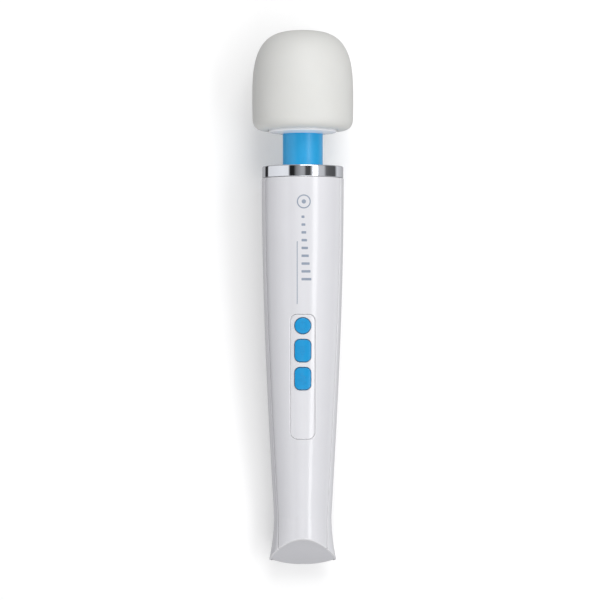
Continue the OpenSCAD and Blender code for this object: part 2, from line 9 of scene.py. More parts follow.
import bmesh
import bpy
import numpy as np
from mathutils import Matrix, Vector


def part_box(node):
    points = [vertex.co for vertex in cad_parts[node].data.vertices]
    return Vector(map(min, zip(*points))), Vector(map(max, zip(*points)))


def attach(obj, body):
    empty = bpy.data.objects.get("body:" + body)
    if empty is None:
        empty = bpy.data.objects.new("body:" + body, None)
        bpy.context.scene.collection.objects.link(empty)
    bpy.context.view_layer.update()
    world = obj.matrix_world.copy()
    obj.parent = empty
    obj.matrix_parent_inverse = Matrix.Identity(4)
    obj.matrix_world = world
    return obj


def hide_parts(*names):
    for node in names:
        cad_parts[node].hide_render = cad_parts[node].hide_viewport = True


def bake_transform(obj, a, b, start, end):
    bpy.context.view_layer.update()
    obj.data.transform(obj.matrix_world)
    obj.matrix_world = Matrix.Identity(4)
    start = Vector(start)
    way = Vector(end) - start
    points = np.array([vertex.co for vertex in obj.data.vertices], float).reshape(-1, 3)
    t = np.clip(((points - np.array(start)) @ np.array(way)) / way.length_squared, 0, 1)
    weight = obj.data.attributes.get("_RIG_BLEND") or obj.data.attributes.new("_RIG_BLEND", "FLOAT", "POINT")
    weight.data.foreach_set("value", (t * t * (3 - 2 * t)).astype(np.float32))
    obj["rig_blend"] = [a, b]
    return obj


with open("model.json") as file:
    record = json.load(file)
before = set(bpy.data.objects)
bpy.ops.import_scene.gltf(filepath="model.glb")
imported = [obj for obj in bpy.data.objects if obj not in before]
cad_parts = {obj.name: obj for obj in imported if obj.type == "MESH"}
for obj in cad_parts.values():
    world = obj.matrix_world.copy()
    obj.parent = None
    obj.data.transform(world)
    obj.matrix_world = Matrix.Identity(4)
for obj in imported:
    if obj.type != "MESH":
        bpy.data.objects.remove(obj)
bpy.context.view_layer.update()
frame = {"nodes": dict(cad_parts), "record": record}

MM = 0.001

# ---------------------------------------------------------------- camera

camera = bpy.data.objects.new("camera", bpy.data.cameras.new("camera"))
camera.data.sensor_width = 36
camera.data.lens = 127
camera.data.clip_start = 0.01
camera.location = (-0.0017, 0.0, 1.331)
bpy.context.scene.collection.objects.link(camera)
bpy.context.scene.camera = camera

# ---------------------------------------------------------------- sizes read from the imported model


def span(node):
    """Lowest and highest corner of a CAD node, in millimetres."""
    low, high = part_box(node)
    return [c / MM for c in low], [c / MM for c in high]


RIM_Y, CROWN_Y = span("head_cap")[0][1], span("head_cap")[1][1]
HEAD_R = span("head_cap")[1][0]
AXIS_Z = (span("head_cap")[0][2] + span("head_cap")[1][2]) / 2
COLLAR_Y = span("head_collar")[0][1]
RING_TOP, RING_R = span("trim_ring")[1][1], span("trim_ring")[1][0]
HANDLE_TOP = span("front_shell")[1][1]
TAIL_Y = span("back_shell")[0][1]
HANDLE_W = span("back_shell")[1][0] - span("back_shell")[0][0]

# ---------------------------------------------------------------- form of the handle

WAIST_Y = -134.0
WAIST_W = 35.6
TAIL_FLARE, FLARE_RUN = 2.6, 25.0
WAIST_FRONT, WAIST_BACK = 16.3, 16.8
FLARE_FRONT, FLARE_BACK = 0.9, 1.6
REST_Y = -161.0
FRONT_SHARP, BACK_SHARP, BACK_FLAT = 0.45, 0.3, 0.3
PARTING_TOP, PARTING_WAIST, PARTING_GAP = 23.0, 15.3, 0.8
TAIL_WALL = 1.2
END_R = 56.0
SLANT_FROM, SLANT_TO = (-160.6, 18.0), (-147.0, 33.4)
SLANT = math.atan2(SLANT_TO[0] - SLANT_FROM[0], SLANT_TO[1] - SLANT_FROM[1])
ARC = 25.0  # one radian round the handle counts as this many millimetres


def taper(y):
    return 1 - np.sin(np.pi / 2 * np.clip((y - WAIST_Y) / (HANDLE_TOP - WAIST_Y), 0, 1))


def flare(y):
    return (np.maximum(0, WAIST_Y - y) / FLARE_RUN) ** 2


def half_width(y):
    return HANDLE_W / 2 - (HANDLE_W - WAIST_W) / 2 * taper(y) + TAIL_FLARE * flare(y)


def front_height(y):
    return HANDLE_W / 2 - (HANDLE_W / 2 - WAIST_FRONT) * taper(y) + FLARE_FRONT * flare(y)


def back_height(y):
    return HANDLE_W / 2 - (HANDLE_W / 2 - WAIST_BACK) * taper(y) + FLARE_BACK * flare(y)


def centre_height(y):
    rise = np.maximum(0, (y - REST_Y) / (HANDLE_TOP - REST_Y)) ** 1.3
    return (AXIS_Z - HANDLE_W / 2) * rise + back_height(y)


def parting(y):
    """Angle of the line where the two shells meet, above the widest line."""
    return np.arccos((PARTING_TOP - (PARTING_TOP - PARTING_WAIST) * taper(y)) / half_width(y))


def skin(u, y, depth):
    """Points of the handle's surface: u is the way round it, y the way along it, depth is inwards."""
    a = u / ARC
    c, s, t = np.cos(a), np.sin(a), taper(y)
    w = half_width(y) - depth
    front = s >= 0
    x = np.where(front, w * c, w * np.sign(c) * np.abs(c) ** (1 - BACK_FLAT * t))
    up = (front_height(y) - depth) * np.abs(s) ** (1 + FRONT_SHARP * t)
    down = (back_height(y) - depth) * np.abs(s) ** (1 + BACK_SHARP * t)
    return np.stack([x, y + 0 * a, centre_height(y) + np.where(front, up, -down)], -1)


def kept_by_tail(p):
    """True where a point lies within the tail's rounded end and behind its slanted face."""
    in_arc = p[..., 0] ** 2 + (p[..., 1] - TAIL_Y - END_R) ** 2 <= END_R ** 2
    ahead = (p[..., 1] - SLANT_FROM[0]) * math.cos(SLANT) - (p[..., 2] - SLANT_FROM[1]) * math.sin(SLANT)
    return in_arc & (ahead >= 0)


def tail_line(u, depth):
    """Where the tail's end cuts the surface, for each way round."""
    near, far = np.full(np.shape(u), -130.0), np.full(np.shape(u), TAIL_Y - 4)
    for _ in range(40):
        y = (near + far) / 2
        keep = kept_by_tail(skin(u, y, depth))
        near, far = np.where(keep, y, near), np.where(keep, far, y)
    return near


def way_round(x, y, back=False):
    """The way round the handle of a surface point at x, on the front or on the back."""
    c = np.clip(x / half_width(y), -1, 1)
    if back:
        return -np.arccos(np.sign(c) * np.abs(c) ** (1 / (1 - BACK_FLAT * taper(y)))) * ARC
    return np.arccos(c) * ARC


# Frame of the panel and the buttons, tilted to lie along the front
BUTTON_Y = (-15.6, -30.7, -47.8)
CONTROL_Y, PANEL_Y = -33.0, -46.9
PANEL_W, PANEL_L, PANEL_CORNER = 15.0, 76.8, 4.0
BUTTON_W, BUTTON_L, BUTTON_CORNER = 9.9, 13.8, 3.3
KEY_GAP, KEY_PROUD = 0.32, 0.6


def front_line(y):
    return float(centre_height(y) + front_height(y))


CONTROL_TILT = math.atan((front_line(BUTTON_Y[0]) - front_line(BUTTON_Y[2])) / (BUTTON_Y[0] - BUTTON_Y[2]))
CONTROL_Z = front_line(CONTROL_Y)


def on_front(points, at_y):
    """Flat (across, along) points of the control frame, centred at at_y, as (way round, y) on the front."""
    p = np.array(points, float)
    along = (at_y - CONTROL_Y) / math.cos(CONTROL_TILT) + p[:, 1]
    lift = np.zeros(len(p))
    for _ in range(4):
        y = CONTROL_Y + along * math.cos(CONTROL_TILT) - lift * math.sin(CONTROL_TILT)
        z = skin(way_round(p[:, 0], y), y, 0)[:, 2]
        lift = (z - CONTROL_Z - along * math.sin(CONTROL_TILT)) / math.cos(CONTROL_TILT)
    return np.stack([way_round(p[:, 0], y), y], -1)


# ---------------------------------------------------------------- flat outlines


def circle(r, cx=0.0, cy=0.0, count=64):
    return [(cx + r * math.cos(2 * math.pi * i / count), cy + r * math.sin(2 * math.pi * i / count))
            for i in range(count)]


def rounded_box(w, l, r, cx=0.0, cy=0.0, steps=10, gap=3.0):
    """Outline of a rounded rectangle, with points along its straight sides so that it can bend."""
    points = []
    for turn, (sx, sy) in enumerate([(1, 1), (-1, 1), (-1, -1), (1, -1)]):
        x, y = sx * (w / 2 - r), sy * (l / 2 - r)
        points += [(cx + x + r * math.cos(math.pi / 2 * (turn + i / steps)),
                    cy + y + r * math.sin(math.pi / 2 * (turn + i / steps))) for i in range(steps + 1)]
    return spaced(points, gap)


def spaced(points, gap):
    """The same closed outline with no side longer than gap."""
    filled = []
    for i, p in enumerate(points):
        q = points[(i + 1) % len(points)]
        parts = max(1, math.ceil(math.dist(p, q) / gap))
        filled += [(p[0] + (q[0] - p[0]) * k / parts, p[1] + (q[1] - p[1]) * k / parts) for k in range(parts)]
    return filled


def ribbon(path, width):
    """Outline of a stroke of one width along a path."""
    left, right = [], []
    for i, p in enumerate(path):
        a, b = path[max(i - 1, 0)], path[min(i + 1, len(path) - 1)]
        d = math.dist(a, b)
        nx, ny = -(b[1] - a[1]) / d * width / 2, (b[0] - a[0]) / d * width / 2
        left.append((p[0] + nx, p[1] + ny))
        right.append((p[0] - nx, p[1] - ny))
    return left + right[::-1]


def wound(points, clockwise):
    p = np.array(points, float)
    area = np.sum(p[:, 0] * np.roll(p[:, 1], -1) - np.roll(p[:, 0], -1) * p[:, 1])
    return p[::-1] if (area < 0) != clockwise else p


def shifted(points, distance):
    """An outline moved to its left by distance."""
    a, b, c = np.roll(points, 1, 0), points, np.roll(points, -1, 0)
    d1, d2 = b - a, c - b
    n1 = np.stack([-d1[:, 1], d1[:, 0]], -1) / np.linalg.norm(d1, axis=1)[:, None]
    n2 = np.stack([-d2[:, 1], d2[:, 0]], -1) / np.linalg.norm(d2, axis=1)[:, None]
    n = n1 + n2
    return points + distance * n / np.maximum(np.sum(n * n1, 1), 0.7)[:, None]


# ---------------------------------------------------------------- making the meshes


def finished(mesh, name, body, finish, replaced=()):
    piece = bpy.data.objects.new(name, mesh)
    bpy.context.scene.collection.objects.link(piece)
    mesh.materials.append(finish)
    if body:
        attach(piece, body)
    if replaced:
        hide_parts(*replaced)
    return piece


def draped(outline, holes=(), depth=0.0, rounding=0.2, wall=2.2, step=1.5, follows_tail=False,
           hole_rounding=None, surface=skin):
    """A mesh cut to an outline with holes, laid on a surface, with rounded edges that turn inwards.

    Outline and holes are (way round, y) points. The grid under it keeps its curve smooth."""
    hole_rounding = rounding if hole_rounding is None else hole_rounding
    bm = bmesh.new()
    amount = bm.verts.layers.float.new("rounding")
    edges = []
    cuts = [(wound(outline, False), rounding)] + [(wound(h, True), hole_rounding) for h in holes]
    for points, radius in cuts:
        verts = [bm.verts.new((p[0], p[1], 0)) for p in shifted(points, radius)]
        for v in verts:
            v[amount] = radius
        edges += [bm.edges.new((verts[i - 1], verts[i])) for i in range(len(verts))]
    bmesh.ops.triangle_fill(bm, use_beauty=True, edges=edges, normal=(0, 0, 1))
    flat = np.array([v.co for v in bm.verts])
    for axis in (0, 1):
        for at in np.arange(math.ceil(flat[:, axis].min() / step) * step, flat[:, axis].max(), step):
            plane = [0.0, 0.0, 0.0]
            plane[axis] = 1.0
            bmesh.ops.bisect_plane(bm, geom=[*bm.verts, *bm.edges, *bm.faces], dist=1e-4,
                                   plane_co=[c * at for c in plane], plane_no=plane)
    rim = [e for e in bm.edges if e.is_boundary]
    away = {}
    for e in rim:
        along = e.verts[1].co - e.verts[0].co
        n = np.array([-along.y, along.x])
        n /= max(np.linalg.norm(n), 1e-9)
        inward = np.array((e.link_faces[0].calc_center_median() - e.verts[0].co)[:2])
        n = -n if n @ inward > 0 else n
        for v in e.verts:
            away.setdefault(v, []).append(n)
    rows = {v: (v.co.x, v.co.y, depth, 0.0, 0.0, 0.0) for v in bm.verts}
    before = {v: v for v in away}
    turns = [(math.radians(t), 0.0) for t in (30, 60, 90)] if rounding else []
    for turn, deeper in turns + ([(math.pi / 2, wall)] if wall else []):
        ring = {}
        for v, ns in away.items():
            n = sum(ns)
            n = n / max(n @ ns[0], 0.7)
            out = n * v[amount] * math.sin(turn)
            new = bm.verts.new((v.co.x + out[0], v.co.y + out[1], 0))
            inwards = depth + (deeper or v[amount] * (1 - math.cos(turn)))
            rows[new] = (new.co.x, new.co.y, inwards, turn, n[0], n[1])
            ring[v] = new
        for e in rim:
            a, b = e.verts
            bm.faces.new((before[a], before[b], ring[b], ring[a]))
        before = ring
    bm.verts.index_update()
    table = np.array([rows[v] for v in bm.verts])
    u, y, d, turn = table[:, 0], table[:, 1], table[:, 2], table[:, 3]
    if follows_tail:
        end = y - tail_line(u, 0 * u) < 0.35
        y = np.where(end & (turn > 0), tail_line(u, d), y)
    place = surface(u, y, d)
    e = 0.05
    up = np.cross(surface(u, y + e, d) - surface(u, y - e, d), surface(u + e, y, d) - surface(u - e, y, d))
    up /= np.linalg.norm(up, axis=1)[:, None]
    out = surface(u + table[:, 4] * e, y + table[:, 5] * e, d) - place
    out /= np.maximum(np.linalg.norm(out, axis=1), 1e-9)[:, None]
    normals = up * np.cos(turn)[:, None] + out * np.sin(turn)[:, None]
    for v, p in zip(bm.verts, place):
        v.co = p * MM
    bm.normal_update()
    for f in bm.faces:
        f.smooth = True
        if f.normal.dot(sum((normals[v.index] for v in f.verts), np.zeros(3))) < 0:
            f.normal_flip()
    bm.verts.layers.float.remove(amount)
    mesh = bpy.data.meshes.new("draped")
    bm.to_mesh(mesh)
    bm.free()
    # Rounded edges are marked for the edge colour: rubbed wear on the white plastics, painted shade of the
    # gap on the keys.
    edge_for_wear_and_shade = mesh.attributes.new("edge", "FLOAT", "POINT")
    edge_for_wear_and_shade.data.foreach_set("value", (turn > 0).astype(np.float32))
    mesh.normals_split_custom_set_from_vertices(normals.tolist())
    return mesh


def fillet(corners, steps=6):
    """A profile of (radius, y, rounding) corners, each rounded off."""
    p = [np.array(c[:2], float) for c in corners]
    points = [p[0]]
    for i in range(1, len(p) - 1):
        r = corners[i][2] if len(corners[i]) > 2 else 0
        if not r:
            points.append(p[i])
            continue
        a, b = p[i - 1] - p[i], p[i + 1] - p[i]
        start, stop = p[i] + a / np.linalg.norm(a) * r, p[i] + b / np.linalg.norm(b) * r
        for k in range(steps + 1):
            t = k / steps
            points.append((1 - t) ** 2 * start + 2 * t * (1 - t) * p[i] + t * t * stop)
    return points + [p[-1]]


def turned(profile, around=160):
    """A mesh turned round the main axis from (radius, y) points."""
    bm = bmesh.new()
    rings = []
    for r, y in profile:
        if r < 1e-6:
            rings.append([bm.verts.new((0, y * MM, AXIS_Z * MM))])
            continue
        rings.append([bm.verts.new((r * MM * math.sin(2 * math.pi * i / around), y * MM,
                                    (AXIS_Z + r * math.cos(2 * math.pi * i / around)) * MM))
                      for i in range(around)])
    for a, b in zip(rings, rings[1:]):
        for i in range(around):
            j = (i + 1) % around
            quad = [a[i % len(a)], a[j % len(a)], b[j % len(b)], b[i % len(b)]]
            quad = [v for k, v in enumerate(quad) if v not in quad[:k]]
            if len(quad) > 2:
                bm.faces.new(quad)
    bmesh.ops.recalc_face_normals(bm, faces=bm.faces)
    for f in bm.faces:
        f.smooth = True
    mesh = bpy.data.meshes.new("turned")
    bm.to_mesh(mesh)
    bm.free()
    mesh.set_sharp_from_angle(angle=math.radians(40))
    return mesh


# ---------------------------------------------------------------- finishes


def linear(hex_colour):
    """An sRGB hex colour as linear RGBA."""
    parts = [int(hex_colour[i:i + 2], 16) / 255 for i in (1, 3, 5)]
    return [c / 12.92 if c <= 0.04045 else ((c + 0.055) / 1.055) ** 2.4 for c in parts] + [1.0]


def add(tree, kind, inputs=None, **settings):
    """Adds a node with its settings; an input is a number, a colour or another node's socket."""
    made = tree.nodes.new(kind)
    for name, value in settings.items():
        setattr(made, name, value)
    for name, value in (inputs or {}).items():
        if isinstance(value, bpy.types.NodeSocket):
            tree.links.new(value, made.inputs[name])
        else:
            made.inputs[name].default_value = value
    return made


def start(name, **constants):
    """A new material: its tree, its shader and the object's own coordinates."""
    material = bpy.data.materials.new(name)
    material.use_nodes = True
    tree = material.node_tree
    shader = tree.nodes["Principled BSDF"]
    for socket, value in constants.items():
        shader.inputs[socket.replace("_", " ")].default_value = value
    return material, tree, shader, add(tree, "ShaderNodeTexCoord").outputs["Object"]


def per_mm(size):
    """Noise scale for features of that size in millimetres."""
    return 1 / (size * MM)


def moulded(name, colour, shade, rough, grain, depth, cloud=14.0, edge_wear_and_shade=None, **constants):
    """A moulded plastic or rubber.

    rough is its (cleanest, most handled) roughness, grain the size in mm of the mould's texture and depth its
    height, cloud the size of the slow change in colour and sheen. edge_wear_and_shade is the colour its
    rounded
    edges turn: rubbed wear on the white plastics, painted shade of the gap round each key on the blue keys."""
    material, tree, shader, place = start(name, **constants)
    slow = add(tree, "ShaderNodeTexNoise", {"Vector": place, "Scale": per_mm(cloud), "Detail": 4.0})
    fine = add(tree, "ShaderNodeTexNoise", {"Vector": place, "Scale": per_mm(grain), "Detail": 3.0})
    hair = add(tree, "ShaderNodeTexNoise", {"Vector": place, "Scale": per_mm(1.6), "Detail": 6.0,
                                            "Roughness": 0.8, "Distortion": 1.2})
    tone = add(tree, "ShaderNodeMix", {"Factor": slow.outputs["Fac"], "A": linear(colour),
                                       "B": linear(shade)}, data_type="RGBA")
    tint = tone.outputs["Result"]
    # The edge colour, broken up by fine noise: on the blue keys it is painted shade of the gap round each
    # key, on the white plastics rubbed wear.
    if edge_wear_and_shade:
        edge = add(tree, "ShaderNodeAttribute", attribute_name="edge")
        broken = add(tree, "ShaderNodeMath", {0: edge.outputs["Fac"], 1: hair.outputs["Fac"]},
                     operation="MULTIPLY")
        tint = add(tree, "ShaderNodeMix", {"Factor": broken.outputs[0], "A": tint, "B": linear(edge_wear_and_shade)},
                   data_type="RGBA").outputs["Result"]
    tree.links.new(tint, shader.inputs["Base Color"])
    handled = add(tree, "ShaderNodeMath", {0: slow.outputs["Fac"], 1: hair.outputs["Fac"]},
                  operation="MULTIPLY")
    sheen = add(tree, "ShaderNodeMapRange", {"Value": handled.outputs[0], "From Min": 0.12, "From Max": 0.42,
                                             "To Min": rough[0], "To Max": rough[1]})
    tree.links.new(sheen.outputs["Result"], shader.inputs["Roughness"])
    bump = add(tree, "ShaderNodeBump", {"Height": fine.outputs["Fac"], "Distance": depth * MM,
                                        "Strength": 1.0})
    tree.links.new(bump.outputs["Normal"], shader.inputs["Normal"])
    return material


def metal(name, colour, shade, rough, line=0.5, depth=0.002, along=(1, 1, 1), **constants):
    """A metal whose tool marks are line mm apart, drawn out along the axes given small numbers in along."""
    material, tree, shader, place = start(name, Metallic=1.0, **constants)
    stretched = add(tree, "ShaderNodeMapping", {"Vector": place, "Scale": along})
    marks = add(tree, "ShaderNodeTexNoise", {"Vector": stretched.outputs["Vector"], "Scale": per_mm(line),
                                             "Detail": 4.0})
    slow = add(tree, "ShaderNodeTexNoise", {"Vector": place, "Scale": per_mm(9.0), "Detail": 5.0})
    tone = add(tree, "ShaderNodeMix", {"Factor": slow.outputs["Fac"], "A": linear(colour),
                                       "B": linear(shade)}, data_type="RGBA")
    tree.links.new(tone.outputs["Result"], shader.inputs["Base Color"])
    both = add(tree, "ShaderNodeMath", {0: marks.outputs["Fac"], 1: slow.outputs["Fac"]},
               operation="MULTIPLY")
    sheen = add(tree, "ShaderNodeMapRange", {"Value": both.outputs[0], "From Min": 0.12, "From Max": 0.42,
                                             "To Min": rough[0], "To Max": rough[1]})
    tree.links.new(sheen.outputs["Result"], shader.inputs["Roughness"])
    bump = add(tree, "ShaderNodeBump", {"Height": marks.outputs["Fac"], "Distance": depth * MM,
                                        "Strength": 1.0})
    tree.links.new(bump.outputs["Normal"], shader.inputs["Normal"])
    return material


# Polished ABS: a hard white gloss with the faint orange peel of a moulding and finger-dulled patches.
shell_abs = moulded("polished_white_abs", "#dedee2", "#d8d8dc", (0.12, 0.22), 2.4, 0.0035, cloud=26,
                    edge_wear_and_shade="#e4e4e6", IOR=1.53)
# The same ABS from another mould: a touch brighter and cleaner, kept under the thumb.
panel_abs = moulded("polished_panel_abs", "#e0e0e4", "#dbdbdf", (0.1, 0.2), 2.0, 0.003, cloud=20,
                    edge_wear_and_shade="#e6e6e8", IOR=1.53)
# The collar's ABS, polished white and facing the blue neck, painted brighter than the shells' same white as
# painted light on a face the lamps barely reach.
collar_abs_painted_light = moulded("polished_collar_abs", "#f3f4f7", "#eceef2", (0.14, 0.24), 1.8, 0.003, cloud=16,
                     IOR=1.53)
# Liquid silicone rubber from a spark-eroded mould: dry and matt, light sinks in a little at its edges.
head_silicone = moulded("matt_silicone", "#d9d9d6", "#d4d4d1", (0.5, 0.64), 0.9, 0.02, cloud=18, IOR=1.41,
                        Subsurface_Weight=0.12, Subsurface_Radius=(1.0, 0.9, 0.8),
                        Subsurface_Scale=0.002)
# Thermoplastic rubber, dyed through: a satin blue with a soft wide highlight.
neck_rubber = moulded("satin_blue_rubber", "#2cb0ec", "#26a6e2", (0.3, 0.42), 0.7, 0.008, cloud=9, IOR=1.5)
# Blue gloss ABS of the buttons, dulled where the thumb lands; the darker blue round each edge is painted
# shade of the gap round the key.
key_abs_painted_gap_shade = moulded("gloss_blue_abs", "#1c9ad6", "#1890cc", (0.14, 0.3), 1.4, 0.003, cloud=6, edge_wear_and_shade="#0c5a86",
                  IOR=1.53)
# Pad-printed ink: a thin slate film, duller than the plastic under it.
pad_ink = moulded("slate_pad_ink", "#8793a4", "#97a1b0", (0.3, 0.45), 0.6, 0.002, cloud=3, IOR=1.5)
# Lightly textured ABS of the tail's end plate, painted greyer than the shells' white as painted shade on its
# slanted face.
tail_abs_painted_shade = moulded("satin_white_abs_painted_shade", "#c4c4c8", "#bebec3", (0.28, 0.4), 0.6, 0.006, cloud=12, IOR=1.53)
# Soft rubber of the screw plugs.
plug_rubber = moulded("matt_white_rubber", "#cfcfd1", "#c7c7c9", (0.5, 0.65), 0.6, 0.01, cloud=5, IOR=1.5)
# Vacuum-plated chrome on ABS: a near-perfect mirror with hairline wipe marks round it.
chrome = metal("plated_chrome", "#e2e4e8", "#dcdfe4", (0.03, 0.09), line=0.6, depth=0.0006, along=(1, 0.1, 1))
# Bright drawn steel of shafts, cans and screws, with turning lines round the axis.
drawn_steel = metal("drawn_steel", "#b9bcc0", "#a7abb0", (0.22, 0.36), line=0.4, depth=0.003,
                    along=(0.1, 1, 0.1))
# Turned brass: warm, with the lathe's fine rings.
turned_brass = metal("turned_brass", "#c9a055", "#b58b4a", (0.22, 0.38), line=0.4, depth=0.004,
                     along=(0.1, 1, 0.1))
# Enamelled copper wire and copper segments: glossy, red-brown, ridged by the turns.
copper = metal("enamelled_copper", "#b8693c", "#9c5630", (0.2, 0.34), line=0.5, depth=0.03, along=(0.1, 1, 1))
# Sintered ferrite and carbon: dull, dark and granular.
ferrite = moulded("sintered_ferrite", "#35363a", "#2a2b2e", (0.55, 0.75), 0.5, 0.02, cloud=4)
# Glass-filled nylon of hidden brackets: dark grey with a dry skin.
nylon = moulded("glass_filled_nylon", "#2c2d30", "#232427", (0.4, 0.55), 0.6, 0.01, cloud=8, IOR=1.53)
# Black rubber of the motor's cushion.
black_rubber = moulded("black_rubber", "#1b1b1c", "#141415", (0.55, 0.7), 0.8, 0.015, cloud=7, IOR=1.52)
# Natural ABS inside the head and on the plungers: unpainted, satin.
core_abs = moulded("natural_abs", "#d8d6cf", "#cfcdc5", (0.35, 0.5), 0.8, 0.008, cloud=10, IOR=1.53)
# Glass-epoxy board under green solder mask: glossy, with the faint relief of its tracks.
board = moulded("green_solder_mask", "#1c6a44", "#14573a", (0.2, 0.35), 1.2, 0.02, cloud=2.5, IOR=1.55)
# Heat-shrunk PVC sleeve of the cells: thin blue film, glossy and a little rippled.
cell_sleeve = moulded("shrunk_pvc_sleeve", "#3a78ae", "#336c9f", (0.18, 0.3), 3.0, 0.02, cloud=8, IOR=1.53)
# PVC insulation of the leads, red and black.
red_pvc = moulded("red_pvc", "#a3282a", "#962224", (0.3, 0.42), 0.7, 0.008, cloud=6, IOR=1.53)
black_pvc = moulded("black_pvc", "#1d1e20", "#17181a", (0.3, 0.42), 0.7, 0.008, cloud=6, IOR=1.53)

SLOT_FINISH = {
    "shell_gloss": shell_abs, "panel_gloss": panel_abs, "silicone": head_silicone, "neck_rubber": neck_rubber,
    "key_blue": key_abs_painted_gap_shade, "chrome_trim": chrome, "tail_plastic": tail_abs_painted_shade, "plug_rubber": plug_rubber,
    "steel": drawn_steel, "brass": turned_brass, "core_plastic": core_abs, "dark_plastic": nylon,
    "dark_rubber": black_rubber, "copper": copper, "magnet": ferrite, "circuit_board": board,
    "cell_wrap": cell_sleeve, "lead_red": red_pvc, "lead_black": black_pvc,
}
for part in frame["record"]["subparts"]:
    cad = frame["nodes"][part["node"]].data
    cad.materials.clear()
    cad.materials.append(SLOT_FINISH[part["material_slot"]])

# ---------------------------------------------------------------- head


def cap_profile():
    """The soft cap: a squared-off dome, a barrelled side, a rounded rim and the lip round the collar."""
    widest = CROWN_Y - 44.0
    power = 2 / 3.2
    dome = [(HEAD_R * math.sin(t) ** power, widest + (CROWN_Y - widest) * math.cos(t) ** power)
            for t in (math.pi / 2 * i / 72 for i in range(73))]
    side = fillet([(HEAD_R, widest), (HEAD_R - 0.05, widest - 5), (HEAD_R - 0.35, RIM_Y, 6.8),
                   (21.6, RIM_Y, 0.6), (21.0, RIM_Y + 2.6)], steps=14)
    return [(max(r, 0.0), y) for r, y in dome] + side[1:]


finished(turned(cap_profile(), around=224), "silicone_cap", "head", head_silicone, ["head_cap"])

NECK_R = 12.3
# The collar is a shallow cone that rises towards the neck.
COLLAR_R = 20.9
collar = fillet([(NECK_R + 0.1, COLLAR_Y + 1.5), (NECK_R + 0.5, COLLAR_Y - 1.1, 0.4),
                 (COLLAR_R, COLLAR_Y + 0.1, 1.0), (COLLAR_R, COLLAR_Y + 3.6)])
finished(turned(collar), "collar", "head", collar_abs_painted_light, ["head_collar"])

# ---------------------------------------------------------------- neck

MIDWAY = (RING_TOP + COLLAR_Y) / 2


def neck_half(low, high, bead):
    """Half of the neck's sleeve, ringed closely enough to bend, with a bead where it enters the collar."""
    profile = []
    for i in range(41):
        y = low + (high - low) * i / 40
        swell = 0.35 * math.exp(-((y - (COLLAR_Y - 0.4)) / 0.55) ** 2) if bead else 0
        profile.append((NECK_R + swell, y))
    return turned(profile, around=128)


lower_neck = finished(neck_half(HANDLE_TOP + 2.6, MIDWAY, False), "neck_lower", None, neck_rubber,
                      ["neck_sleeve"])
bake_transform(lower_neck, "handle", "neck", (0, RING_TOP * MM, AXIS_Z * MM), (0, MIDWAY * MM, AXIS_Z * MM))
upper_neck = finished(neck_half(MIDWAY, COLLAR_Y + 1.2, True), "neck_upper", None, neck_rubber,
                      ["neck_sleeve"])
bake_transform(upper_neck, "neck", "head", (0, MIDWAY * MM, AXIS_Z * MM), (0, COLLAR_Y * MM, AXIS_Z * MM))

# ---------------------------------------------------------------- top of the handle

ring = fillet([(22.0, HANDLE_TOP + 0.15), (RING_R, HANDLE_TOP + 0.15, 0.45), (RING_R, RING_TOP, 0.8),
               (22.75, RING_TOP, 0.35), (22.5, RING_TOP - 0.8), (22.5, HANDLE_TOP + 3)], steps=8)
finished(turned(ring, around=256), "trim_ring_chrome", "handle", chrome, ["trim_ring"])

dome = fillet([(NECK_R + 0.2, HANDLE_TOP + 2.5), (NECK_R + 0.2, RING_TOP + 0.15, 0.4),
               (NECK_R + 1.8, RING_TOP + 0.6, 0.8), (21.6, RING_TOP - 0.6, 0.8),
               (22.35, RING_TOP - 1.0, 0.3), (22.35, HANDLE_TOP + 2.5)])
finished(turned(dome), "neck_plate", "handle", shell_abs, ["top_cap"])

# ---------------------------------------------------------------- shells


def shell_outline(side):
    """Closed outline of one shell: up one parting line, round the top, down the other, along the tail."""
    def part_u(y):
        return (parting(y) + math.radians(side * PARTING_GAP)) * ARC

    low, high = -150.0, TAIL_Y - 2
    for _ in range(40):
        y = (low + high) / 2
        low, high = (y, high) if kept_by_tail(skin(part_u(y), np.array(y), 0)) else (low, y)
    ys = np.linspace(low, HANDLE_TOP, 90)
    near = np.stack([part_u(ys), ys], -1)
    mirror = (math.pi if side > 0 else -math.pi) * ARC
    far = np.stack([mirror - part_u(ys), ys], -1)
    across = np.linspace(0, 1, 50)[1:-1]
    top = np.stack([near[-1, 0] + (far[-1, 0] - near[-1, 0]) * across, np.full(48, HANDLE_TOP)], -1)
    across = np.linspace(0, 1, 120)[1:-1]
    u = far[0, 0] + (near[0, 0] - far[0, 0]) * across
    tail = np.stack([u, tail_line(u, 0 * u)], -1)
    return np.concatenate([near, top, far[::-1], tail])


pocket = on_front(rounded_box(PANEL_W + 0.3, PANEL_L + 0.3, PANEL_CORNER + 0.15), PANEL_Y)
front = draped(shell_outline(1), [pocket], rounding=0.7, wall=TAIL_WALL, follows_tail=True, hole_rounding=0.6)
finished(front, "front_cover", "handle", shell_abs, ["front_shell"])


def plug_hole(x, y):
    p = np.array(circle(2.35, x, y, 40))
    return np.stack([way_round(p[:, 0], p[:, 1], back=True), p[:, 1]], -1)


plugs = [plug_hole(x, y) for x, y in [(17.2, 46), (-17.2, 46), (9, -138), (-9, -138)]]
back = draped(shell_outline(-1), plugs, rounding=0.4, wall=TAIL_WALL, follows_tail=True, hole_rounding=0.2)
finished(back, "back_cover", "handle", shell_abs, ["back_shell"])

# ---------------------------------------------------------------- end of the tail

ROLL_R = 9.0  # the upright end rolls over into the slanted face with this radius
SLANT_L, CROWN, TAIL_HALF = 17.0, 0.55, 19.2  # the slanted face's length, how far it bulges, half its width
PORT_R, PORT_Z = 4.0, 8.0


def roll_start(x):
    """How far up the upright end the roll-over starts, at x, and how far along the tail the end stands."""
    end = TAIL_Y + END_R - np.sqrt(END_R ** 2 - x ** 2)
    corner = SLANT_FROM[1] + (end - SLANT_FROM[0]) / math.tan(SLANT)
    return corner - ROLL_R * math.tan(SLANT / 2), end


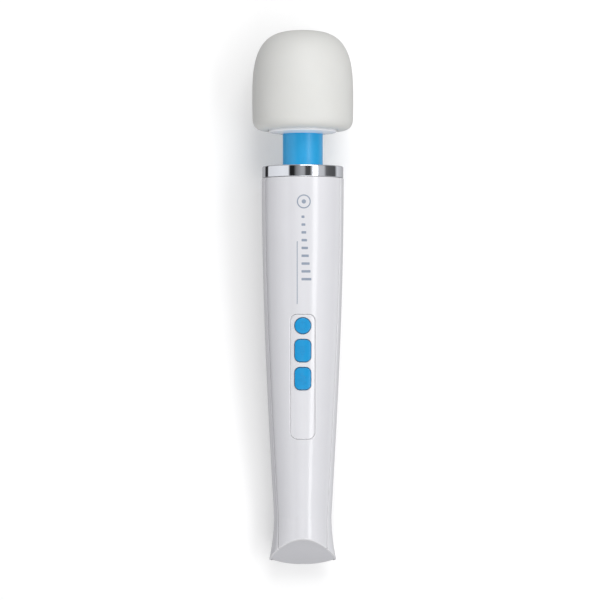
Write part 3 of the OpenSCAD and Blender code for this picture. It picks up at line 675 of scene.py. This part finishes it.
def tail_face(u, s, depth):
    """Points of the end face: u is across it, s the way up it, over the roll and along the slant."""
    low, end = roll_start(-u)
    turn = np.clip((s - low) / ROLL_R, 0, SLANT)
    past = np.maximum(0, s - low - ROLL_R * SLANT)
    share = np.maximum(0.05, 1 - (u / TAIL_HALF) ** 2)
    q = np.clip(past / (SLANT_L * share), 0, 1)
    lower = depth - CROWN * share * 4 * q * (1 - q)
    y = end + ROLL_R * (1 - np.cos(turn)) + past * math.sin(SLANT) + lower * np.cos(turn)
    z = np.minimum(s, low) + ROLL_R * np.sin(turn) + past * math.cos(SLANT) - lower * np.sin(turn)
    return np.stack([-u, y, z], -1)


def tail_outline(depth):
    """The end face's outline, just inside the shells, as (across, way up) points."""
    u = np.linspace(-math.pi, math.pi, 160, endpoint=False) * ARC
    p = skin(u, tail_line(u, depth + 0 * u), depth)
    low, _ = roll_start(p[:, 0])
    over = low + ROLL_R * math.sin(SLANT)
    s = np.where(p[:, 2] > over, low + ROLL_R * SLANT + (p[:, 2] - over) / math.cos(SLANT), p[:, 2])
    return np.stack([-p[:, 0], s], -1)


end_plate = draped(tail_outline(TAIL_WALL - 0.3), [circle(PORT_R, 0, PORT_Z, 48)], depth=0.1, rounding=0.1,
                   wall=1.6, step=1.0, hole_rounding=0.5, surface=tail_face)
finished(end_plate, "end_plate", "handle", tail_abs_painted_shade, ["tail_cap"])

# ---------------------------------------------------------------- panel and buttons


def key_outline(i, grow=0.0):
    if i == 0:
        return circle(BUTTON_W / 2 + grow)
    return rounded_box(BUTTON_W + 2 * grow, BUTTON_L + 2 * grow, BUTTON_CORNER + grow, gap=1.5)


panel = draped(on_front(rounded_box(PANEL_W, PANEL_L, PANEL_CORNER), PANEL_Y),
               [on_front(key_outline(i, KEY_GAP), BUTTON_Y[i]) for i in range(3)],
               depth=0.12, rounding=0.5, wall=1.0, step=1.0, hole_rounding=0.12)
finished(panel, "inset_panel", "handle", panel_abs, ["control_panel"])

FLANGE_GROW, FLANGE_DEPTH = 1.1, 1.75
KEYS = [("power", "power_key"), ("level", "level_key"), ("pattern", "pattern_key")]
for i, (name, body) in enumerate(KEYS):
    key = draped(on_front(key_outline(i), BUTTON_Y[i]), depth=-KEY_PROUD, rounding=0.55, wall=2.6, step=0.8)
    finished(key, name + "_key_top", body, key_abs_painted_gap_shade, [name + "_button"])
    # The key's flange under the panel closes the gap round it.
    flange = draped(on_front(key_outline(i, FLANGE_GROW), BUTTON_Y[i]), depth=FLANGE_DEPTH, rounding=0.1,
                    wall=0.4, step=1.2)
    finished(flange, name + "_key_flange", body, key_abs_painted_gap_shade)

# Raised marks on the buttons: a ring with a bar, rising bars, and a wave.
wave = [(2.2 * math.sin(t), -3.3 + 6.6 * t / (4 * math.pi)) for t in np.linspace(0, 4 * math.pi, 49)]
MARKS = [
    [("power_ring", circle(2.5), [circle(2.05)]), ("power_bar", rounded_box(0.5, 2.2, 0.24, 0, 1.9, 4), [])],
    [("level_bar_%d" % k, rounded_box(w, 0.6, 0.28, 0, -2.4 + 1.6 * k, 4), [])
     for k, w in enumerate((1.6, 2.8, 4.0, 5.2))],
    [("pattern_wave", ribbon(wave, 0.5), [])],
]
for i, marks in enumerate(MARKS):
    for name, outline, holes in marks:
        mark = draped(on_front(outline, BUTTON_Y[i]), [on_front(h, BUTTON_Y[i]) for h in holes],
                      depth=-KEY_PROUD - 0.1, rounding=0.06, wall=0.12, step=0.8)
        finished(mark, name, KEYS[i][1], key_abs_painted_gap_shade)

# ---------------------------------------------------------------- printed scale


def printed(name, outline, holes=()):
    at = [np.stack([way_round(np.array(p)[:, 0], np.array(p)[:, 1]), np.array(p)[:, 1]], -1)
          for p in [outline, *holes]]
    finished(draped(at[0], at[1:], depth=-0.02, rounding=0, wall=0), name, "handle", pad_ink)


RING_X, RING_AT = 0.6, 59.4
BARS, BAR_PITCH, FIRST_BAR_AT = 9, 4.7, 50.2
BAR_W, BAR_GROWTH, BAR_LEFT = 1.8, 0.52, -0.8  # each bar is wider than the one above, from one left edge
printed("print_ring", circle(4.2, RING_X, RING_AT, 72), [circle(3.5, RING_X, RING_AT, 72)])
printed("print_dot", circle(1.3, RING_X, RING_AT, 40))
for k in range(BARS):
    width = BAR_W + BAR_GROWTH * k
    printed("print_bar_%d" % k,
            rounded_box(width, 1.5, 0.3, BAR_LEFT + width / 2, FIRST_BAR_AT - BAR_PITCH * k, 4))
printed("print_line", rounded_box(0.45, 38.0, 0.2, -3.4, 16.5, 3))

# ---------------------------------------------------------------- studio


def plain_floor():
    bm = bmesh.new()
    for x, y in [(-4, -4), (4, -4), (4, 4), (-4, 4)]:
        bm.verts.new((x, y, -0.0002))
    bm.faces.new(bm.verts)
    mesh = bpy.data.meshes.new("floor")
    bm.to_mesh(mesh)
    bm.free()
    paper = moulded("matt_white_paper", "#e4e4e4", "#e1e1e1", (0.6, 0.7), 1.5, 0.01, cloud=60,
                    Emission_Color=(1, 1, 1, 1), Emission_Strength=0.25)
    mesh.materials.append(paper)
    floor = bpy.data.objects.new("floor", mesh)
    bpy.context.scene.collection.objects.link(floor)
    # The room alone shades the handle's flanks and the chrome; the paper only takes shadows and is seen.
    floor.visible_diffuse = False
    floor.visible_glossy = False


plain_floor()


def soft_light(name, place, aim, width, height, radiance, colour="#ffffff"):
    lamp = bpy.data.lights.new(name, "AREA")
    lamp.shape = "RECTANGLE"
    lamp.size, lamp.size_y = width, height
    lamp.energy = radiance * math.pi * width * height
    lamp.color = linear(colour)[:3]
    light = bpy.data.objects.new(name, lamp)
    light.location = place
    light.rotation_euler = (Vector(aim) - Vector(place)).to_track_quat("-Z", "Y").to_euler()
    bpy.context.scene.collection.objects.link(light)


# A tall strip to the right draws the long highlight; two boxes above the ends light the front evenly.
soft_light("key_strip", (0.70, 0.0, 1.0), (0, 0, 0.03), 1.7, 0.30, 3.3)
soft_light("head_end_box", (0.2, 0.9, 1.0), (0, 0, 0.03), 0.7, 0.7, 4.7)
soft_light("tail_end_box", (0.2, -1.05, 0.95), (0, 0, 0.03), 0.7, 0.7, 2.5)

# The room round the table, seen by glossy parts: pale flats to the left, grey overhead, a dark gap
# either side of it and a dark wall to the right. Each stop is (degrees from overhead, brightness).
world = bpy.data.worlds.new("studio")
bpy.context.scene.world = world
world.use_nodes = True
room = world.node_tree
way = add(room, "ShaderNodeSeparateXYZ", {"Vector": add(room, "ShaderNodeTexCoord").outputs["Generated"]})
angle = add(room, "ShaderNodeMath", {0: way.outputs["X"], 1: way.outputs["Z"]}, operation="ARCTAN2")
turn = add(room, "ShaderNodeMapRange", {"Value": angle.outputs[0], "From Min": -math.pi, "From Max": math.pi})
ramp = add(room, "ShaderNodeValToRGB", {"Fac": turn.outputs["Result"]})
STOPS = [(-180, 0.42), (-136, 0.5), (-132, 0.03), (-118, 0.03), (-114, 0.85), (-78, 0.95), (-60, 1.0),
         (-42, 0.98), (-37, 0.02), (-25, 0.02), (-18, 0.25), (-4, 0.46), (4, 0.44), (9, 0.08),
         (21, 0.08), (26, 0.7), (46, 0.7), (54, 0.66), (62, 0.62), (70, 0.16), (80, 0.12), (104, 0.1),
         (114, 0.8), (150, 0.5)]
stops = ramp.color_ramp.elements
while len(stops) < len(STOPS):
    stops.new(0.5)
for stop, (degrees, level) in zip(stops, STOPS):
    stop.position = (degrees + 180) / 360
    stop.color = (level, level, level * 1.02, 1)
aside = add(room, "ShaderNodeMath", {0: way.outputs["Y"]}, operation="ABSOLUTE")
fade = add(room, "ShaderNodeMapRange", {"Value": aside.outputs[0], "From Min": 0.25, "From Max": 0.55})
# Past the handle's ends the room is even: pale behind the tail, where it lights the collar, and grey
# past the head.
ends = add(room, "ShaderNodeMapRange", {"Value": way.outputs["Y"], "From Min": -0.6, "From Max": 0.3,
                                        "To Min": 0.66, "To Max": 0.42})
around = add(room, "ShaderNodeMix", {"Factor": fade.outputs["Result"], "A": ramp.outputs["Color"],
                                     "B": ends.outputs["Result"]}, data_type="RGBA")
room.links.new(around.outputs["Result"], room.nodes["Background"].inputs["Color"])

bpy.context.scene.view_settings.view_transform = "Standard"
